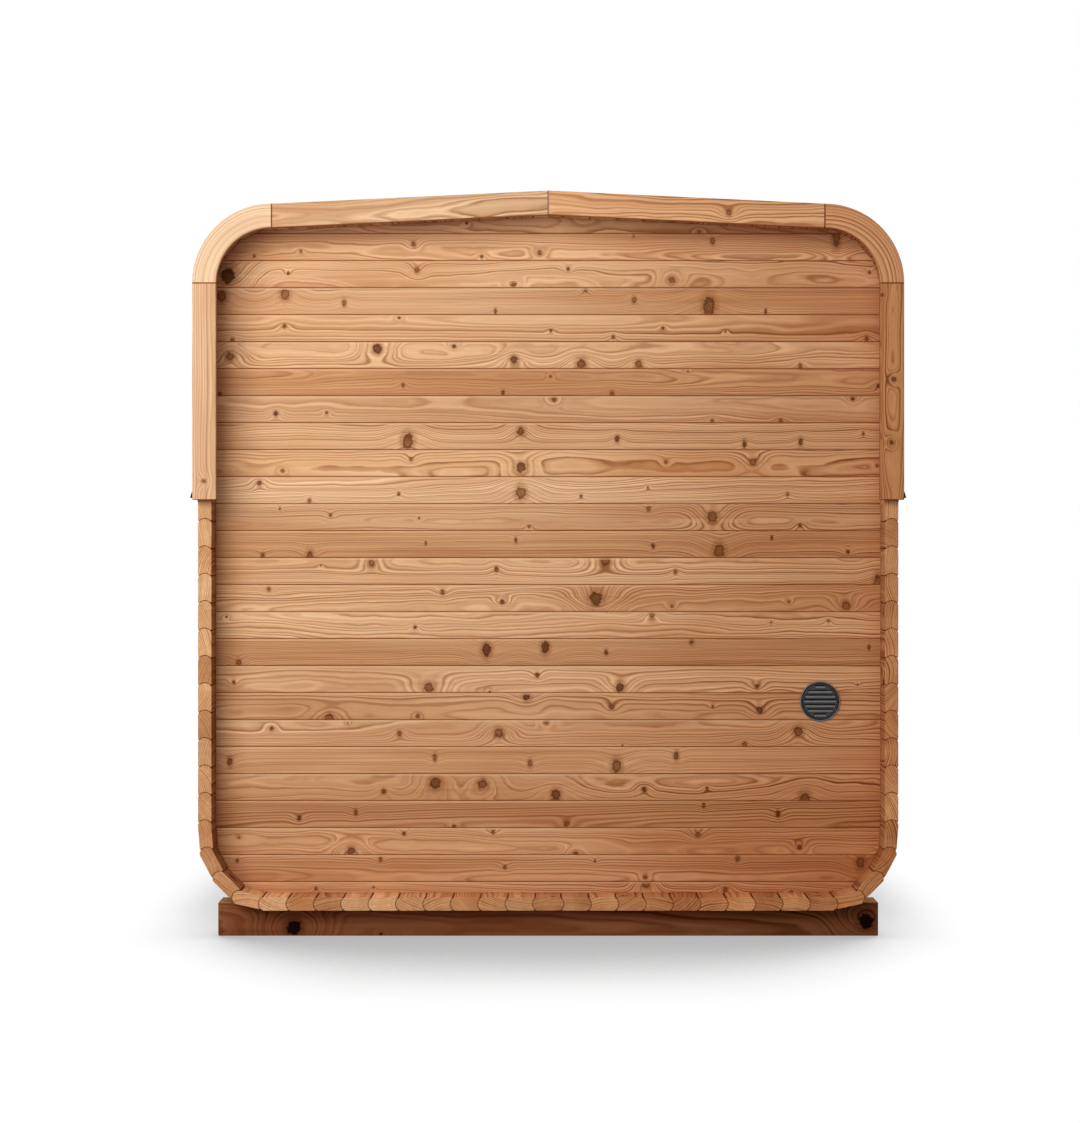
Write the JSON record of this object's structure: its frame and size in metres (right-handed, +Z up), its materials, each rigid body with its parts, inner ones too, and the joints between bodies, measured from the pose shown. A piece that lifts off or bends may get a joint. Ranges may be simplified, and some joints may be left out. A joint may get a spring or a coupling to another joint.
{
  "type": "square sauna",
  "caption": "Free-standing sauna with a rounded square shell of bead-and-cove staves on cross beams, recessed boarded end walls, a low gable roof and a round vent.",
  "frame": {"origin": "centre of the bottom of the whole object's box, on the ground", "axes": "+Z up, +X across the shell to the right as seen from the rear, +Y along the staves from the rear wall with the vent to the front wall with the door"},
  "size_m": [2.0662, 1.856, 2.1555],
  "materials": {
    "stave_wood": "planed knotty softwood, oiled",
    "wall_wood": "planed knotty softwood, oiled",
    "trim_wood": "planed softwood, oiled",
    "cradle_wood": "dark stained softwood beam",
    "handle_wood": "oiled softwood",
    "vent_plastic": "black satin",
    "hinge_metal": "black powder coat",
    "drip_metal": "black coated sheet",
    "roof_shingle": "mineral-surfaced bitumen shingles"
  },
  "bodies": {
    "root": {"rear_cradle": "cradle_wood", "front_cradle": "cradle_wood", "centre_floor_stave": "stave_wood", "left_floor_staves": "stave_wood", "right_floor_staves": "stave_wood", "left_lower_corner_staves": "stave_wood", "right_lower_corner_staves": "stave_wood", "left_wall_staves": "stave_wood", "right_wall_staves": "stave_wood", "left_upper_corner_staves": "stave_wood", "right_upper_corner_staves": "stave_wood", "left_roof_staves": "stave_wood", "right_roof_staves": "stave_wood", "rear_wall": "wall_wood", "vent_grille": "vent_plastic", "front_wall_below_door": "wall_wood", "front_wall_left": "wall_wood", "front_wall_right": "wall_wood", "front_wall_above_door": "wall_wood", "door_sill": "trim_wood", "left_door_jamb": "trim_wood", "right_door_jamb": "trim_wood", "door_head": "trim_wood", "door_leaf": "wall_wood", "door_handle": "handle_wood", "door_hinges": "hinge_metal", "rear_left_post_trim": "trim_wood", "rear_right_post_trim": "trim_wood", "rear_left_corner_trim": "trim_wood", "rear_right_corner_trim": "trim_wood", "rear_left_top_trim": "trim_wood", "rear_right_top_trim": "trim_wood", "front_left_post_trim": "trim_wood", "front_right_post_trim": "trim_wood", "front_left_corner_trim": "trim_wood", "front_right_corner_trim": "trim_wood", "front_left_top_trim": "trim_wood", "front_right_top_trim": "trim_wood", "left_roof_cover": "roof_shingle", "right_roof_cover": "roof_shingle", "left_drip_edge": "drip_metal", "right_drip_edge": "drip_metal"}
  },
  "joints": []
}
